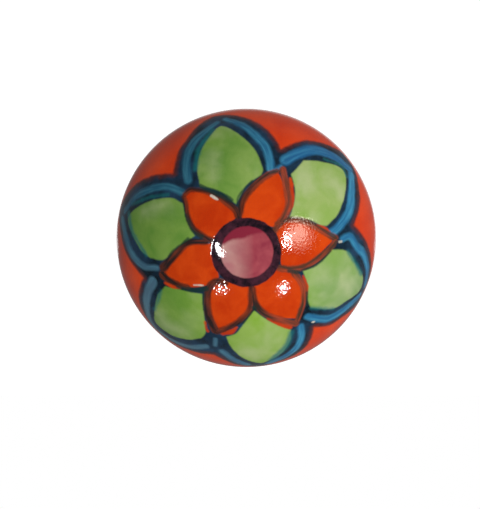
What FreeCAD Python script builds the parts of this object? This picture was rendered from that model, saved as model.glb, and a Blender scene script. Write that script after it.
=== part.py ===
import FreeCAD, Part
import math
import os

# A round ceramic cabinet knob with a flower painted on its crown, on a pressed
# steel base plate, with a bolt cemented into the head. Millimetres. The axis is
# Y: the painted face looks towards -Y and the bolt points to +Y, into the door.
# The origin is on the axis, in the door's face. "Rho" is a distance from the
# axis and "rise" a height over the door, so a point lies at y = -rise.

# Driving sizes of the glazed head
HEAD_RADIUS = 20.0
WIDEST_RISE = 15.5
CROWN_HEIGHT = 14.0
SHOULDER_SHARE = 0.475
NECK_RADIUS = 8.5
NECK_RISE = 4.5
NECK_HOLLOW_RADIUS = 3.0
FOOT_FLARE = 1.1
FOOT_EDGE = 0.6

# Socket under the head, filled with cement round the bolt
SOCKET_RADIUS = 5.5
SOCKET_DEPTH = 12.0

# Pressed base plate between the head's foot and the door
PLATE_SHEET = 0.7
PLATE_HEIGHT = 2.6
PLATE_LEAN = 0.5
FOOT_PLAY = 0.15
HOLE_PLAY = 0.25

# Bolt, M4: the plain shank in the cement has the thread's pitch radius, as a
# bolt with a rolled thread has
BOLT_RADIUS = 2.0
THREAD_PITCH = 0.7
PITCH_LINE_SHARE = 0.325
BOLT_REACH = 35.0
BOLT_POINT = 0.5
BOLT_HEAD_FLATS = 7.0
BOLT_HEAD_HEIGHT = 2.8
CEMENT_OVER_BOLT = 0.8

# Thickness of the painted colours, and what they leave free at the widest ring
ENAMEL = 0.15
RIM_MARGIN = 0.2

# Painted flower, seen from the front. Its sizes are shares of the head's radius,
# because it fills the face. Each pair is an angle in degrees, counter-clockwise
# from +X, and such a share for the rho. The petals were painted by hand, so no
# two are alike. Pairs at the same place in the lists belong to the same petal.
NOTCH_SHARES = ((10, 0.84), (70.5, 0.79), (135.5, 0.79), (197.5, 0.83), (254.5, 0.905), (309, 0.825))
PETAL_TIP_SHARES = ((38, 0.99), (100, 0.985), (167, 0.985), (224, 0.99), (275.5, 0.99), (340.5, 0.99))
GREEN_TIP_SHARES = ((38, 0.945), (100.5, 0.93), (167, 0.93), (224, 0.945), (275, 0.95), (340.5, 0.95))
GREEN_FOOT_SHARES = ((37.5, 0.415), (102.5, 0.37), (164, 0.415), (226.5, 0.49), (277, 0.485), (338, 0.46))
GREEN_FIRST_CORNER_SHARES = (
    (15.5, 0.645), (78.5, 0.585), (143.5, 0.615), (206, 0.69), (258, 0.715), (316, 0.65))
GREEN_LAST_CORNER_SHARES = (
    (59, 0.67), (125.5, 0.6), (187.5, 0.72), (244.5, 0.735), (297.5, 0.75), (359, 0.655))
ORANGE_TIP_SHARES = ((4, 0.665), (67.5, 0.645), (138, 0.65), (197, 0.665), (251, 0.665), (306, 0.685))
OUTLINE_BOW_SHARE = 0.17
GREEN_BOW_SHARE = 0.2
GREEN_FOOT_BOW_SHARE = 0.02
ORANGE_BOW_SHARE = 0.14
BLUE_OUTER_SHARE = 0.27
BLUE_INNER_SHARE = 0.67
ORANGE_FOOT_GAP_ANGLE = 6.0
BROWN_WIDTH_SHARE = 0.045
EYE_X_SHARE = 0.005
EYE_Z_SHARE = -0.0125
EYE_DISC_SHARE = 0.2025
EYE_RING_SHARE = 0.0675

# Worked out from the driving sizes
PROJECTION = WIDEST_RISE + CROWN_HEIGHT
SHOULDER_RADIUS = SHOULDER_SHARE * HEAD_RADIUS
SHOULDER_RHO = HEAD_RADIUS - SHOULDER_RADIUS
CAP_RADIUS = (SHOULDER_RHO ** 2 + CROWN_HEIGHT ** 2 - SHOULDER_RADIUS ** 2) / (
    2 * (CROWN_HEIGHT - SHOULDER_RADIUS))
CAP_RISE = PROJECTION - CAP_RADIUS
HOLLOW_RHO = NECK_RADIUS + NECK_HOLLOW_RADIUS
UNDERSIDE_RADIUS = (
    (HEAD_RADIUS - HOLLOW_RHO) ** 2 + (WIDEST_RISE - NECK_RISE) ** 2 - NECK_HOLLOW_RADIUS ** 2) / (
    2 * (HEAD_RADIUS - HOLLOW_RHO + NECK_HOLLOW_RADIUS))
FOOT_RADIUS = NECK_RADIUS + FOOT_FLARE
BOLT_SHANK_RADIUS = BOLT_RADIUS - PITCH_LINE_SHARE * THREAD_PITCH
EYE_DISC_RADIUS = EYE_DISC_SHARE * HEAD_RADIUS
EYE_RING_RADIUS = EYE_DISC_RADIUS + EYE_RING_SHARE * HEAD_RADIUS
PLATE_HOLE_RADIUS = BOLT_RADIUS + HOLE_PLAY
SOCKET_TOP = PLATE_SHEET + SOCKET_DEPTH
AXIS = FreeCAD.Vector(0, 1, 0)
CENTRE = FreeCAD.Vector(0, 0, 0)
EIGHTH_TURN = math.pi / 4


def at(rho, rise):
    """Point of a profile that is turned about the axis."""
    return FreeCAD.Vector(rho, -rise, 0)


def spot(pair):
    """Point of the painted flower from its angle and its share of the head's radius."""
    angle = math.radians(pair[0])
    rho = pair[1] * HEAD_RADIUS
    return FreeCAD.Vector(rho * math.cos(angle), 0, rho * math.sin(angle))


def on_circle(rho, rise, radius, toward_rho, toward_rise):
    """Point of a circle in the direction of another point."""
    reach = math.hypot(toward_rho - rho, toward_rise - rise)
    return (rho + radius * (toward_rho - rho) / reach, rise + radius * (toward_rise - rise) / reach)


def line(start, end):
    return Part.LineSegment(start, end).toShape()


def arc(start, middle, end):
    return Part.Arc(start, middle, end).toShape()


def turned(edges):
    """Solid of revolution about the axis from the edges of half a section."""
    return Part.Face(Part.Wire(edges)).revolve(CENTRE, AXIS, 360)


def crown_arcs(lift):
    """Cap arc and shoulder arc of the crown, raised by lift, from the axis to the widest ring."""
    cap = CAP_RADIUS + lift
    shoulder = SHOULDER_RADIUS + lift
    half = math.atan2(SHOULDER_RHO, WIDEST_RISE - CAP_RISE) / 2
    join = on_circle(0, CAP_RISE, cap, SHOULDER_RHO, WIDEST_RISE)
    turn = (math.pi / 2 - 2 * half) / 2
    cap_arc = arc(at(0, CAP_RISE + cap),
                  at(cap * math.sin(half), CAP_RISE + cap * math.cos(half)), at(*join))
    shoulder_arc = arc(at(*join),
                       at(SHOULDER_RHO + shoulder * math.cos(turn), WIDEST_RISE + shoulder * math.sin(turn)),
                       at(SHOULDER_RHO + shoulder, WIDEST_RISE))
    return [cap_arc, shoulder_arc]


def rounded(rho, rise, radius, side, up):
    """Middle point of a quarter round about a centre, outward or inward, upward or downward."""
    return at(rho + side * radius * math.cos(EIGHTH_TURN), rise + up * radius * math.sin(EIGHTH_TURN))


def glazed_head():
    """Turned head: crown, round underside, hollow neck and foot, with the socket below."""
    under_rho = HEAD_RADIUS - UNDERSIDE_RADIUS
    meet = on_circle(under_rho, WIDEST_RISE, UNDERSIDE_RADIUS, HOLLOW_RHO, NECK_RISE)
    foot_rise = NECK_RISE - math.sqrt(NECK_HOLLOW_RADIUS ** 2 - (HOLLOW_RHO - FOOT_RADIUS) ** 2)
    edge_rise = PLATE_SHEET + FOOT_EDGE
    edge_rho = FOOT_RADIUS - FOOT_EDGE
    edges = crown_arcs(0)
    edges += [
        arc(at(HEAD_RADIUS, WIDEST_RISE), rounded(under_rho, WIDEST_RISE, UNDERSIDE_RADIUS, 1, -1),
            at(*meet)),
        arc(at(*meet), at(NECK_RADIUS, NECK_RISE), at(FOOT_RADIUS, foot_rise)),
        line(at(FOOT_RADIUS, foot_rise), at(FOOT_RADIUS, edge_rise)),
        arc(at(FOOT_RADIUS, edge_rise), rounded(edge_rho, edge_rise, FOOT_EDGE, 1, -1),
            at(edge_rho, PLATE_SHEET)),
        line(at(edge_rho, PLATE_SHEET), at(SOCKET_RADIUS, PLATE_SHEET)),
        line(at(SOCKET_RADIUS, PLATE_SHEET), at(SOCKET_RADIUS, SOCKET_TOP)),
        line(at(SOCKET_RADIUS, SOCKET_TOP), at(0, SOCKET_TOP)),
        line(at(0, SOCKET_TOP), at(0, PROJECTION)),
    ]
    return turned(edges)


def bolt():
    """Hexagon head and thin shank in the cement, then the threaded length behind the plate."""
    head_top = SOCKET_TOP - CEMENT_OVER_BOLT
    head_bottom = head_top - BOLT_HEAD_HEIGHT
    sixth = math.pi / 3
    corner = BOLT_HEAD_FLATS / 2 / math.cos(sixth / 2)
    corners = [FreeCAD.Vector(corner * math.cos(sixth * k), -head_top, corner * math.sin(sixth * k))
               for k in range(7)]
    hexagon = Part.Face(Part.makePolygon(corners)).extrude(AXIS * BOLT_HEAD_HEIGHT)
    shank = turned([
        line(at(0, head_bottom), at(BOLT_SHANK_RADIUS, head_bottom)),
        line(at(BOLT_SHANK_RADIUS, head_bottom), at(BOLT_SHANK_RADIUS, 0)),
        line(at(BOLT_SHANK_RADIUS, 0), at(BOLT_RADIUS, 0)),
        line(at(BOLT_RADIUS, 0), at(BOLT_RADIUS, BOLT_POINT - BOLT_REACH)),
        line(at(BOLT_RADIUS, BOLT_POINT - BOLT_REACH), at(BOLT_RADIUS - BOLT_POINT, -BOLT_REACH)),
        line(at(BOLT_RADIUS - BOLT_POINT, -BOLT_REACH), at(0, -BOLT_REACH)),
        line(at(0, -BOLT_REACH), at(0, head_bottom)),
    ])
    return hexagon.fuse(shank).removeSplitter()


def cement(bolt_solid):
    """Cement that fills the socket round the bolt, flush with the foot."""
    plug = Part.makeCylinder(SOCKET_RADIUS, SOCKET_DEPTH, at(0, SOCKET_TOP), AXIS)
    return plug.cut(bolt_solid)


def base_plate():
    """Shallow pressed cup: flat floor with the bolt's hole, bend and leaning wall round the foot."""
    inner = FOOT_RADIUS + FOOT_PLAY
    outer = inner + PLATE_SHEET
    lip_rho = inner + PLATE_LEAN + PLATE_SHEET / 2
    lip_rise = PLATE_HEIGHT - PLATE_SHEET / 2
    return turned([
        line(at(PLATE_HOLE_RADIUS, 0), at(inner, 0)),
        arc(at(inner, 0), rounded(inner, PLATE_SHEET, PLATE_SHEET, 1, -1), at(outer, PLATE_SHEET)),
        line(at(outer, PLATE_SHEET), at(lip_rho + PLATE_SHEET / 2, lip_rise)),
        arc(at(lip_rho + PLATE_SHEET / 2, lip_rise), at(lip_rho, PLATE_HEIGHT),
            at(lip_rho - PLATE_SHEET / 2, lip_rise)),
        line(at(lip_rho - PLATE_SHEET / 2, lip_rise), at(inner, PLATE_SHEET)),
        line(at(inner, PLATE_SHEET), at(PLATE_HOLE_RADIUS, PLATE_SHEET)),
        line(at(PLATE_HOLE_RADIUS, PLATE_SHEET), at(PLATE_HOLE_RADIUS, 0)),
    ])


def bowed(start, end, bow, inside):
    """Three points of an arc from start to end that bows away from the point inside."""
    middle = (start + end) * 0.5
    across = FreeCAD.Vector(end.z - start.z, 0, start.x - end.x)
    if across.dot(middle - inside) < 0:
        across = across * -1
    return (start, middle + across * bow, end)


def between(first, last, share):
    """Arc that lies a share of the way from one arc to another."""
    return tuple(a + (b - a) * share for a, b in zip(first, last))


def outline_face(arcs):
    """Flat face inside arcs given head to tail; the last one may need a straight closing line."""
    edges = [arc(*points) for points in arcs]
    if (arcs[-1][2] - arcs[0][0]).Length > 0.001:
        edges.append(line(arcs[-1][2], arcs[0][0]))
    return Part.Face(Part.Wire(edges))


def round_face(centre, radius):
    """Flat round face."""
    return Part.Face(Part.Wire([Part.Circle(centre, AXIS, radius).toShape()]))


def petal_sides(index):
    """Outline and green sides of one outer petal, each as arcs that run from its corner to its tip."""
    after = (index + 1) % len(NOTCH_SHARES)
    heart = (spot(GREEN_FOOT_SHARES[index]) + spot(GREEN_TIP_SHARES[index])) * 0.5
    sides = []
    for notch, corner in ((NOTCH_SHARES[index], GREEN_FIRST_CORNER_SHARES[index]),
                          (NOTCH_SHARES[after], GREEN_LAST_CORNER_SHARES[index])):
        outline = bowed(spot(notch), spot(PETAL_TIP_SHARES[index]), OUTLINE_BOW_SHARE, heart)
        green = bowed(spot(corner), spot(GREEN_TIP_SHARES[index]), GREEN_BOW_SHARE, heart)
        sides.append((outline, green))
    return sides


def flower_face():
    """Whole area of the six outer petals, to the outside of their dark outline."""
    arcs = []
    for index in range(len(NOTCH_SHARES)):
        first, last = petal_sides(index)
        arcs += [first[0], last[0][::-1]]
    return outline_face(arcs).common(round_face(CENTRE, HEAD_RADIUS - RIM_MARGIN))


def green_face(index):
    """Green field of one outer petal, from its foot between two inner petals to its tip."""
    first, last = petal_sides(index)
    foot = spot(GREEN_FOOT_SHARES[index])
    heart = (foot + spot(GREEN_TIP_SHARES[index])) * 0.5
    rising = bowed(foot, first[1][0], GREEN_FOOT_BOW_SHARE, heart)
    falling = bowed(last[1][0], foot, GREEN_FOOT_BOW_SHARE, heart)
    return outline_face([rising, first[1], last[1][::-1], falling])


def blue_faces(index):
    """Two blue strokes of one outer petal, one between the dark lines of each side."""
    faces = []
    for outline, green in petal_sides(index):
        outer = between(outline, green, BLUE_OUTER_SHARE)
        inner = between(outline, green, BLUE_INNER_SHARE)
        faces.append(Part.Face(Part.Wire([
            arc(*outer), line(outer[2], inner[2]), arc(*inner[::-1]), line(inner[0], outer[0])])))
    return faces


def orange_face(index):
    """Inner petal, from under the ring of the eye to its tip below a notch."""
    tip = spot(ORANGE_TIP_SHARES[index])
    before = GREEN_FOOT_SHARES[index - 1][0]
    after = GREEN_FOOT_SHARES[index][0]
    if before > after:
        before -= 360
    first = spot((before + ORANGE_FOOT_GAP_ANGLE, EYE_DISC_SHARE))
    last = spot((after - ORANGE_FOOT_GAP_ANGLE, EYE_DISC_SHARE))
    heart = tip * 0.5
    return outline_face([bowed(first, tip, ORANGE_BOW_SHARE, heart),
                         bowed(tip, last, ORANGE_BOW_SHARE, heart)])


def joined(faces):
    """One flat shape from faces that may overlap."""
    return faces[0].multiFuse(faces[1:]).removeSplitter()


def painted_fields():
    """Flat areas of each colour. What is painted later is cut out of what lies under it."""
    petals = range(len(NOTCH_SHARES))
    eye_centre = FreeCAD.Vector(EYE_X_SHARE, 0, EYE_Z_SHARE) * HEAD_RADIUS
    brown_width = BROWN_WIDTH_SHARE * HEAD_RADIUS
    disc = round_face(eye_centre, EYE_DISC_RADIUS)
    eye = round_face(eye_centre, EYE_RING_RADIUS)
    orange = joined([orange_face(k) for k in petals])
    inner = joined([orange_face(k).makeOffset2D(brown_width) for k in petals])
    green = joined([green_face(k) for k in petals])
    blue = joined([face for k in petals for face in blue_faces(k)])
    covered = joined([inner, eye])
    return {
        "enamel_eye_disc": disc,
        "enamel_eye_ring": eye.cut(disc),
        "enamel_orange_petals": orange.cut(eye),
        "enamel_brown_outlines": inner.cut(joined([orange, eye])),
        "enamel_green_petals": green.cut(covered),
        "enamel_blue_borders": blue.cut(joined([covered, green])),
        "enamel_navy_outlines": flower_face().cut(joined([covered, green, blue])),
    }


def enamel_layer():
    """Thin skin on the whole crown: a cap about the crown's centre and a band on the shoulder."""
    centre = at(0, CAP_RISE)
    reach = CAP_RADIUS + ENAMEL
    start = (WIDEST_RISE - CAP_RISE) / 2
    spread = SHOULDER_RHO / 2 * reach / start
    cone = Part.makeCone(SHOULDER_RHO / 2, spread, reach - start, at(0, CAP_RISE + start), AXIS * -1)
    cap = Part.makeSphere(reach, centre).cut(Part.makeSphere(CAP_RADIUS, centre)).common(cone)
    inner = crown_arcs(0)[1]
    outer = crown_arcs(ENAMEL)[1]
    band = turned([
        inner, line(at(HEAD_RADIUS, WIDEST_RISE), at(HEAD_RADIUS + ENAMEL, WIDEST_RISE)),
        outer, line(outer.firstVertex().Point, inner.firstVertex().Point),
    ])
    return cap.fuse(band)


def main():
    os.makedirs("parts", exist_ok=True)
    bolt_solid = bolt()
    pieces = {
        "ceramic_head": glazed_head(),
        "cement": cement(bolt_solid),
        "bolt": bolt_solid,
        "base_plate": base_plate(),
    }
    layer = enamel_layer()
    for name, field in painted_fields().items():
        prisms = field.extrude(at(0, PROJECTION + HEAD_RADIUS))
        pieces[name] = Part.makeCompound(layer.common(prisms).Solids)
    for name, shape in pieces.items():
        shape.exportStep("parts/" + name + ".step")
        box = shape.BoundBox
        print(name, "solids", len(shape.Solids), "valid", shape.isValid(),
              "volume", round(shape.Volume, 3), "faces", len(shape.Faces),
              "y", round(box.YMin, 2), round(box.YMax, 2), "x", round(box.XMin, 2), round(box.XMax, 2))


main()
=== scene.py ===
# %% [markdown]
# A hand-painted cabinet knob
#
# The knob is a turned ceramic head with a flower brushed on its crown and a clear glaze over it. Behind the
# head sit a pressed steel base plate and an M4 bolt. The CAD frame gives every size; this script gives the
# surfaces their real look. Each touch of the brush is a short list of points, and the shaders
# turn the distance to these touches into colour.

import math

import bmesh
import bpy
import numpy as np
from mathutils import Matrix, Vector


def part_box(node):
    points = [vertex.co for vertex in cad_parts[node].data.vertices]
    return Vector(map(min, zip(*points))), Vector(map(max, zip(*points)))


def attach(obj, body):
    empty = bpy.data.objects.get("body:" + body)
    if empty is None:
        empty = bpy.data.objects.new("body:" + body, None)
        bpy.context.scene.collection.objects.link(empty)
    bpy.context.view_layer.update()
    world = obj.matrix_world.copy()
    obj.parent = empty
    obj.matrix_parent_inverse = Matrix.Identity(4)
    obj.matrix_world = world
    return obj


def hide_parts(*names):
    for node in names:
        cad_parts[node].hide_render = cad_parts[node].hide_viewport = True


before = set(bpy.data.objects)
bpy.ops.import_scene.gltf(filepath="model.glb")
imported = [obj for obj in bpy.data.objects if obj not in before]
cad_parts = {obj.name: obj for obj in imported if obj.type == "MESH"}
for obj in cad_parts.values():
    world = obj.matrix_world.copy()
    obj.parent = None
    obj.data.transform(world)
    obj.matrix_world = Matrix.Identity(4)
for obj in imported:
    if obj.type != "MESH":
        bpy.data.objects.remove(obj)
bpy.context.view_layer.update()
MM = 0.001
QUARTER_TURN = math.pi / 2
print("CAD nodes", sorted(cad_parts))

# %% [markdown]
# Sizes of the head
#
# The head is described by half a section: "rho" is the distance from the axis and "rise" the height over the
# door. The axis is Y and the painted face looks towards -Y, so a point of the section lies at y = -rise. What
# the frame knows is measured there, and only the inner radii are written down.

# %% Sizes of the head
head_low, head_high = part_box("ceramic_head")
HEAD_RADIUS = head_high.x
PROJECTION = -head_low.y
FOOT_RISE = -head_high.y
WIDEST_RISE = 15.5 * MM
SHOULDER_SHARE = 0.475
NECK_RADIUS = 8.5 * MM
NECK_RISE = 4.5 * MM
NECK_HOLLOW_RADIUS = 3.0 * MM
FOOT_RADIUS = 9.6 * MM
FOOT_EDGE = 0.6 * MM
SOCKET_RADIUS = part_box("cement")[1].x
SOCKET_TOP = -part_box("cement")[0].y

CROWN_HEIGHT = PROJECTION - WIDEST_RISE
SHOULDER_RADIUS = SHOULDER_SHARE * HEAD_RADIUS
SHOULDER_RHO = HEAD_RADIUS - SHOULDER_RADIUS
CAP_RADIUS = (SHOULDER_RHO ** 2 + CROWN_HEIGHT ** 2 - SHOULDER_RADIUS ** 2) / (
    2 * (CROWN_HEIGHT - SHOULDER_RADIUS))
CAP_RISE = PROJECTION - CAP_RADIUS
CAP_ANGLE = math.atan2(SHOULDER_RHO, WIDEST_RISE - CAP_RISE)
CAP_EDGE_RHO = CAP_RADIUS * math.sin(CAP_ANGLE)
HOLLOW_RHO = NECK_RADIUS + NECK_HOLLOW_RADIUS
UNDERSIDE_RADIUS = (
    (HEAD_RADIUS - HOLLOW_RHO) ** 2 + (WIDEST_RISE - NECK_RISE) ** 2 - NECK_HOLLOW_RADIUS ** 2) / (
    2 * (HEAD_RADIUS - HOLLOW_RHO + NECK_HOLLOW_RADIUS))
UNDERSIDE_RHO = HEAD_RADIUS - UNDERSIDE_RADIUS
print("head radius", round(HEAD_RADIUS / MM, 2), "cap radius", round(CAP_RADIUS / MM, 2),
      "shoulder radius", round(SHOULDER_RADIUS / MM, 2))

# %% [markdown]
# Camera
#
# A long lens from 1.5 m, 8 degrees above the horizon, gives the flat perspective of a product photo. The knob
# stands a little above the middle of the picture, so camera and aim are moved together instead of tilting.

# %% Camera
PICTURE_HEIGHT = 509
CAMERA_DISTANCE = 1.5
CAMERA_RISE = math.radians(8.0)
PIXELS_PER_MM = 6.5
AIM_LEFT = 0.96 * MM
AIM_BELOW = 2.55 * MM


def new_object(name, data):
    """Object with this data, linked to the scene."""
    made = bpy.data.objects.new(name, data)
    bpy.context.scene.collection.objects.link(made)
    return made


camera_data = bpy.data.cameras.new("camera")
camera_data.sensor_fit = "AUTO"
camera_data.sensor_width = 36.0
camera_data.lens = PIXELS_PER_MM * CAMERA_DISTANCE / MM / PICTURE_HEIGHT * camera_data.sensor_width
camera_data.clip_start = 0.01
camera_data.clip_end = 50.0
camera = new_object("camera", camera_data)
bpy.context.scene.camera = camera
towards_camera = Vector((0, -math.cos(CAMERA_RISE), math.sin(CAMERA_RISE)))
picture_up = Vector((0, math.sin(CAMERA_RISE), math.cos(CAMERA_RISE)))
aim = Vector((-AIM_LEFT, -WIDEST_RISE, 0)) - picture_up * AIM_BELOW
camera.location = aim + towards_camera * CAMERA_DISTANCE
camera.rotation_euler = (-towards_camera).to_track_quat("-Z", "Y").to_euler()
print("lens", round(camera_data.lens, 1), "mm")


# %% [markdown]
# Small helpers for node trees
#
# A shader or a Geometry Nodes tree is easier to read as one line per node. "node" makes a node and fills its
# inputs: a value is set on the socket, and an output of another node is linked to it. The nodes that most
# trees need, such as Math, Map Range, Mix and Noise, have a short name of their own.

# %% Small helpers for node trees
def fill(tree, socket, value):
    """Link an output to the socket, or set the socket's own value."""
    if isinstance(value, bpy.types.NodeSocket):
        tree.links.new(value, socket)
    else:
        socket.default_value = value


def node(tree, kind, inputs=None, **settings):
    """New node with its settings and with its inputs by name or number."""
    made = tree.nodes.new(kind)
    for name, value in settings.items():
        setattr(made, name, value)
    for key, value in (inputs or {}).items():
        fill(tree, made.inputs[key], value)
    return made


def math_node(tree, operation, first, second=0.0, third=0.0, clamp=False):
    """Output of a Math node."""
    made = node(tree, "ShaderNodeMath", {0: first, 1: second, 2: third}, operation=operation, use_clamp=clamp)
    return made.outputs[0]


def product(tree, first, second):
    """Product of two values."""
    return math_node(tree, "MULTIPLY", first, second)


def map_range(tree, value, start, end, low=0.0, high=1.0):
    """Value brought from the range between start and end to the one between low and high, and kept in it."""
    made = node(tree, "ShaderNodeMapRange", {
        "Value": value, "From Min": start, "From Max": end, "To Min": low, "To Max": high})
    return made.outputs["Result"]


def mixed(tree, kind, first, second, share):
    """Mix of two values or colours: the first where the share is 0, the second where it is 1."""
    made = node(tree, "ShaderNodeMix", {}, data_type=kind)
    for key, value in (("Factor", share), ("A", first), ("B", second)):
        fill(tree, made.inputs[key], (*value, 1) if isinstance(value, tuple) else value)
    return made.outputs["Result"]


def object_place(tree):
    """Place on the piece, in metres."""
    return node(tree, "ShaderNodeTexCoord").outputs["Object"]


def noise(tree, place, scale, detail, **more):
    """Cloudy value from 0 to 1."""
    made = node(tree, "ShaderNodeTexNoise", {"Vector": place, "Scale": scale, "Detail": detail, **more})
    return made.outputs["Fac"]


def new_group(name, kind, inputs, outputs):
    """Empty node group with named sockets, and its group input and output nodes."""
    group = bpy.data.node_groups.new(name, kind)
    for label, socket_type, default in inputs:
        socket = group.interface.new_socket(name=label, in_out="INPUT", socket_type=socket_type)
        if default is not None:
            socket.default_value = default
    for label, socket_type in outputs:
        group.interface.new_socket(name=label, in_out="OUTPUT", socket_type=socket_type)
    return group, group.nodes.new("NodeGroupInput"), group.nodes.new("NodeGroupOutput")


# %% [markdown]
# Turning a section on the lathe
#
# A potter turns the head, and a press turns the plate's blank: both are one section carried round the axis.
# Geometry Nodes do the same here. A grid has one column for each step round the axis and one row for each
# point of the section. Every grid point takes the place of its section point and is turned by its column's
# angle. Merging the doubles closes the seam and the poles. The bolt uses the same grid further down.

# %% Grid round an axis, and how each tree ends
DOUBLE_GAP = 0.002 * MM


def round_grid(tree, rows, segments):
    """Grid with a column for each step round the axis, and each point's column and row in it."""
    columns = math_node(tree, "ADD", segments, 1)
    grid = node(tree, "GeometryNodeMeshGrid", {"Vertices X": columns, "Vertices Y": rows})
    index = node(tree, "GeometryNodeInputIndex").outputs[0]
    column = math_node(tree, "FLOOR", math_node(tree, "DIVIDE", math_node(tree, "ADD", index, 0.5), rows))
    row = math_node(tree, "SUBTRACT", index, product(tree, column, rows))
    return grid.outputs["Mesh"], column, row


def closed_surface(tree, grid, place):
    """Grid with its points at their places, its doubles merged and its shading smooth."""
    shaped = node(tree, "GeometryNodeSetPosition", {"Geometry": grid, "Position": place})
    merged = node(tree, "GeometryNodeMergeByDistance", {0: shaped.outputs[0], "Distance": DOUBLE_GAP})
    return node(tree, "GeometryNodeSetShadeSmooth", {0: merged.outputs[0]}).outputs[0]


def finish_tree(tree, given, out, geometry):
    """Last nodes of a tree: instances made real, and the material put on."""
    real = node(tree, "GeometryNodeRealizeInstances", {0: geometry})
    coated = node(tree, "GeometryNodeSetMaterial", {
        0: real.outputs[0], "Material": given.outputs["Material"]})
    fill(tree, out.inputs[0], coated.outputs[0])


# %% Tree that turns a section about the axis
def turned_piece_tree():
    tree, given, out = new_group("turned piece", "GeometryNodeTree", (
        ("Geometry", "NodeSocketGeometry", None),
        ("Section", "NodeSocketObject", None),
        ("Segments", "NodeSocketInt", 64),
        ("Material", "NodeSocketMaterial", None),
    ), (("Geometry", "NodeSocketGeometry"),))
    section = node(tree, "GeometryNodeObjectInfo", {"Object": given.outputs["Section"]})
    points = node(tree, "GeometryNodeCurveToPoints", {0: section.outputs["Geometry"]}, mode="EVALUATED")
    points = points.outputs["Points"]
    size = node(tree, "GeometryNodeAttributeDomainSize", {0: points}, component="POINTCLOUD")
    grid, column, row = round_grid(tree, size.outputs["Point Count"], given.outputs["Segments"])
    turn = product(tree, math_node(tree, "DIVIDE", column, given.outputs["Segments"]), math.tau)
    place = node(tree, "GeometryNodeSampleIndex", {
        "Geometry": points,
        "Value": node(tree, "GeometryNodeInputPosition").outputs[0],
        "Index": row,
    }, data_type="FLOAT_VECTOR", domain="POINT")
    turned = node(tree, "ShaderNodeVectorRotate", {
        "Vector": place.outputs["Value"], "Axis": (0, 1, 0), "Angle": turn}, rotation_type="AXIS_ANGLE")
    finish_tree(tree, given, out, closed_surface(tree, grid, turned.outputs["Vector"]))
    return tree


TURNED_PIECE = turned_piece_tree()


# %% [markdown]
# From a tree to a plain mesh
#
# The modifier's inputs are found by the socket's identifier. The result is read back as a mesh of its own, so
# the finished piece has no live modifier and sits at the origin with its place in its points.

# %% Tree to mesh
def made_by_tree(name, tree, values):
    """Plain mesh object that a Geometry Nodes tree gives for these values."""
    carrier = new_object(name + " carrier", bpy.data.meshes.new(name + " carrier"))
    modifier = carrier.modifiers.new("tree", "NODES")
    modifier.node_group = tree
    for socket in tree.interface.items_tree:
        if socket.in_out == "INPUT" and socket.name in values:
            modifier[socket.identifier] = values[socket.name]
    bpy.context.view_layer.update()
    graph = bpy.context.evaluated_depsgraph_get()
    mesh = bpy.data.meshes.new_from_object(carrier.evaluated_get(graph))
    mesh.name = name
    bpy.data.objects.remove(carrier)
    return new_object(name, mesh)


def face_outwards(piece):
    """Merge what the tree left double and make every face of the closed mesh look outwards."""
    shell = bmesh.new()
    shell.from_mesh(piece.data)
    bmesh.ops.remove_doubles(shell, verts=shell.verts, dist=DOUBLE_GAP / 2)
    bmesh.ops.recalc_face_normals(shell, faces=shell.faces)
    volume = shell.calc_volume(signed=True)
    open_edges = sum(1 for edge in shell.edges if not edge.is_manifold)
    shell.to_mesh(piece.data)
    shell.free()
    print(piece.name, "triangles", sum(len(p.vertices) - 2 for p in piece.data.polygons),
          "open edges", open_edges, "volume", round(volume / MM ** 3, 1), "mm3")


# %% [markdown]
# Sections from arcs and lines
#
# A section is drawn with arcs, as on a workshop drawing. The step says how far apart its points lie. It is
# small on the crown, because the painting is stored in the points there; the plain back needs far fewer.

# %% Sections from arcs and lines
SECTION_GAP = 0.01 * MM


def arc_points(rho, rise, radius, start, end, step):
    """Points of an arc about a centre. Angles are measured from the axis, towards larger rho."""
    count = max(2, math.ceil(abs(end - start) * radius / step))
    turns = [start + (end - start) * k / count for k in range(count + 1)]
    return [(rho + radius * math.sin(turn), rise + radius * math.cos(turn)) for turn in turns]


def line_points(start, end, step):
    """Points of a straight run."""
    count = max(1, math.ceil(math.dist(start, end) / step))
    return [(start[0] + (end[0] - start[0]) * k / count, start[1] + (end[1] - start[1]) * k / count)
            for k in range(count + 1)]


def section_object(name, points):
    """Poly curve through the points of a section, without its doubles."""
    kept = [points[0]]
    for point in points[1:]:
        if math.dist(point, kept[-1]) > SECTION_GAP:
            kept.append(point)
    curve = bpy.data.curves.new(name, "CURVE")
    curve.dimensions = "3D"
    spline = curve.splines.new("POLY")
    spline.points.add(len(kept) - 1)
    for spot, (rho, rise) in zip(spline.points, kept):
        spot.co = (rho, -rise, 0, 1)
    return new_object(name, curve)


def turned_piece(name, points, segments, material):
    """Closed piece turned from a section."""
    section = section_object(name + " section", points)
    piece = made_by_tree(name, TURNED_PIECE, {
        "Section": section, "Segments": segments, "Material": material})
    bpy.data.objects.remove(section)
    face_outwards(piece)
    return piece


# %% [markdown]
# The flower, stroke by stroke
#
# The painter works from the outside in: petals outlined in navy, a blue stroke inside each dark edge, a green
# field, then six orange petals with a brown line round each, and the eye. Every line below is one touch of
# the brush, in millimetres as seen from the front (x to the right, z up). Only the points that give a stroke
# its bend are written down; a smooth curve runs through them. No two petals are alike, which is what makes
# the painting look made by hand. The places were drawn on a head of PATTERN_RADIUS, and the curves are
# brought to the real head's radius when they are made.

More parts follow.
